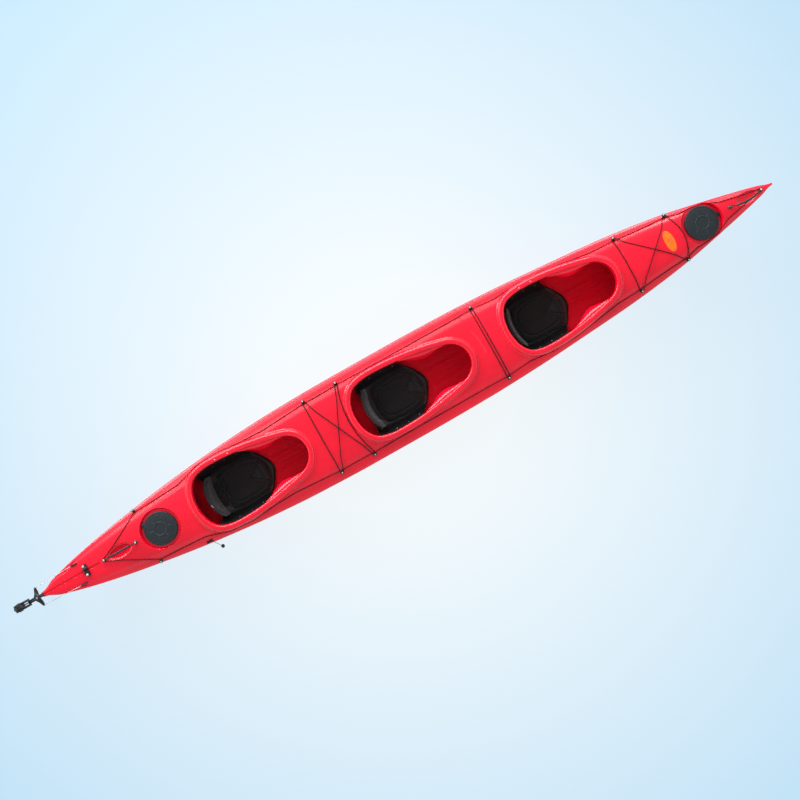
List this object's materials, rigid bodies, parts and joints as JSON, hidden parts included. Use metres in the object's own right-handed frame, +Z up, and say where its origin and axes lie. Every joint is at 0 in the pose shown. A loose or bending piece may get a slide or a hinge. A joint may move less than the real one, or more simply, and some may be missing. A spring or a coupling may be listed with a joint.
{
  "type": "sea kayak",
  "caption": "Long decked sea kayak with cockpits in line, round hatches, deck lines, foot braces, tilting backrests and a lifting rudder.",
  "frame": {"origin": "centre of the bounding box, on the plane under the flat of the keel", "axes": "+X to the bow, +Y to port, +Z up"},
  "size_m": [6.008, 0.694, 0.551],
  "materials": {
    "shell": "gloss",
    "hatch_rubber": "matte",
    "seat_plastic": "satin",
    "pad_fabric": "matte",
    "fitting": "satin",
    "blade": "satin",
    "steel": "brushed",
    "cord": "matte",
    "foam": "matte"
  },
  "bodies": {
    "boat": {"hull": "shell", "deck": "shell", "stern_bulkhead": "foam", "bow_bulkhead": "foam", "stern_hatch_rim": "fitting", "bow_hatch_rim": "fitting", "stern_seat_pan": "seat_plastic", "stern_seat_pad": "pad_fabric", "stern_port_rail": "fitting", "stern_starboard_rail": "fitting", "middle_seat_pan": "seat_plastic", "middle_seat_pad": "pad_fabric", "middle_port_rail": "fitting", "middle_starboard_rail": "fitting", "bow_seat_pan": "seat_plastic", "bow_seat_pad": "pad_fabric", "bow_port_rail": "fitting", "bow_starboard_rail": "fitting", "port_fitting_1": "fitting", "port_fitting_2": "fitting", "port_fitting_3": "fitting", "port_fitting_4": "fitting", "port_fitting_5": "fitting", "port_fitting_6": "fitting", "starboard_fitting_1": "fitting", "starboard_fitting_2": "fitting", "starboard_fitting_3": "fitting", "starboard_fitting_4": "fitting", "starboard_fitting_5": "fitting", "starboard_fitting_6": "fitting", "deck_line": "cord", "rear_bungee": "cord", "middle_bungee": "cord", "foredeck_bungee": "cord", "stern_handle": "fitting", "bow_handle": "fitting", "stern_bracket": "fitting", "steering_pin": "steel", "rudder_rest": "fitting", "port_steering_cable": "steel", "starboard_steering_cable": "steel", "port_cable_guide": "fitting", "starboard_cable_guide": "fitting", "lift_line_cleat": "fitting", "lift_line": "cord", "lift_ball": "fitting"},
    "stern_hatch": {"stern_hatch_cover": "hatch_rubber"},
    "bow_hatch": {"bow_hatch_cover": "hatch_rubber"},
    "stern_back": {"stern_backrest": "pad_fabric"},
    "middle_back": {"middle_backrest": "pad_fabric"},
    "bow_back": {"bow_backrest": "pad_fabric"},
    "stern_port_foot": {"stern_port_pedal": "fitting"},
    "stern_starboard_foot": {"stern_starboard_pedal": "fitting"},
    "middle_port_foot": {"middle_port_pedal": "fitting"},
    "middle_starboard_foot": {"middle_starboard_pedal": "fitting"},
    "bow_port_foot": {"bow_port_pedal": "fitting"},
    "bow_starboard_foot": {"bow_starboard_pedal": "fitting"},
    "yoke": {"rudder_yoke": "fitting", "blade_pivot_bolt": "steel"},
    "blade": {"rudder_blade": "blade"}
  },
  "joints": [
    {"name": "rudder_steer", "type": "hinge", "parent": "boat", "child": "yoke", "pos_m": [-2.846, 0, 0.441], "axis": [0, 0, 1], "range_deg": [-38, 38], "deforming": ["port_steering_cable", "starboard_steering_cable"]},
    {"name": "rudder_lift", "type": "hinge", "parent": "yoke", "child": "blade", "pos_m": [-2.965, 0, 0.512], "axis": [0, 1, 0], "range_deg": [0, 278]},
    {"name": "stern_hatch_lift", "type": "slide", "parent": "boat", "child": "stern_hatch", "axis": [0, 0, 1], "range_m": [0, 0.3]},
    {"name": "bow_hatch_lift", "type": "slide", "parent": "boat", "child": "bow_hatch", "axis": [0, 0, 1], "range_m": [0, 0.3]},
    {"name": "stern_back_tilt", "type": "hinge", "parent": "boat", "child": "stern_back", "pos_m": [-1.496, 0, 0.112], "axis": [0, 1, 0], "range_deg": [-4, 35]},
    {"name": "middle_back_tilt", "type": "hinge", "parent": "boat", "child": "middle_back", "pos_m": [-0.194, 0, 0.112], "axis": [0, 1, 0], "range_deg": [-4, 35]},
    {"name": "bow_back_tilt", "type": "hinge", "parent": "boat", "child": "bow_back", "pos_m": [0.997, 0, 0.112], "axis": [0, 1, 0], "range_deg": [-4, 35]},
    {"name": "stern_port_foot_slide", "type": "slide", "parent": "boat", "child": "stern_port_foot", "axis": [1, 0, 0], "range_m": [-0.045, 0.045]},
    {"name": "stern_starboard_foot_slide", "type": "slide", "parent": "boat", "child": "stern_starboard_foot", "axis": [1, 0, 0], "range_m": [-0.045, 0.045]},
    {"name": "middle_port_foot_slide", "type": "slide", "parent": "boat", "child": "middle_port_foot", "axis": [1, 0, 0], "range_m": [-0.105, 0.105]},
    {"name": "middle_starboard_foot_slide", "type": "slide", "parent": "boat", "child": "middle_starboard_foot", "axis": [1, 0, 0], "range_m": [-0.105, 0.105]},
    {"name": "bow_port_foot_slide", "type": "slide", "parent": "boat", "child": "bow_port_foot", "axis": [1, 0, 0], "range_m": [-0.105, 0.105]},
    {"name": "bow_starboard_foot_slide", "type": "slide", "parent": "boat", "child": "bow_starboard_foot", "axis": [1, 0, 0], "range_m": [-0.105, 0.105]}
  ],
  "couplings": [
    {"joint": "stern_port_foot_slide", "follows": "rudder_steer", "m_per_rad": -0.067},
    {"joint": "stern_starboard_foot_slide", "follows": "rudder_steer", "m_per_rad": 0.067}
  ]
}
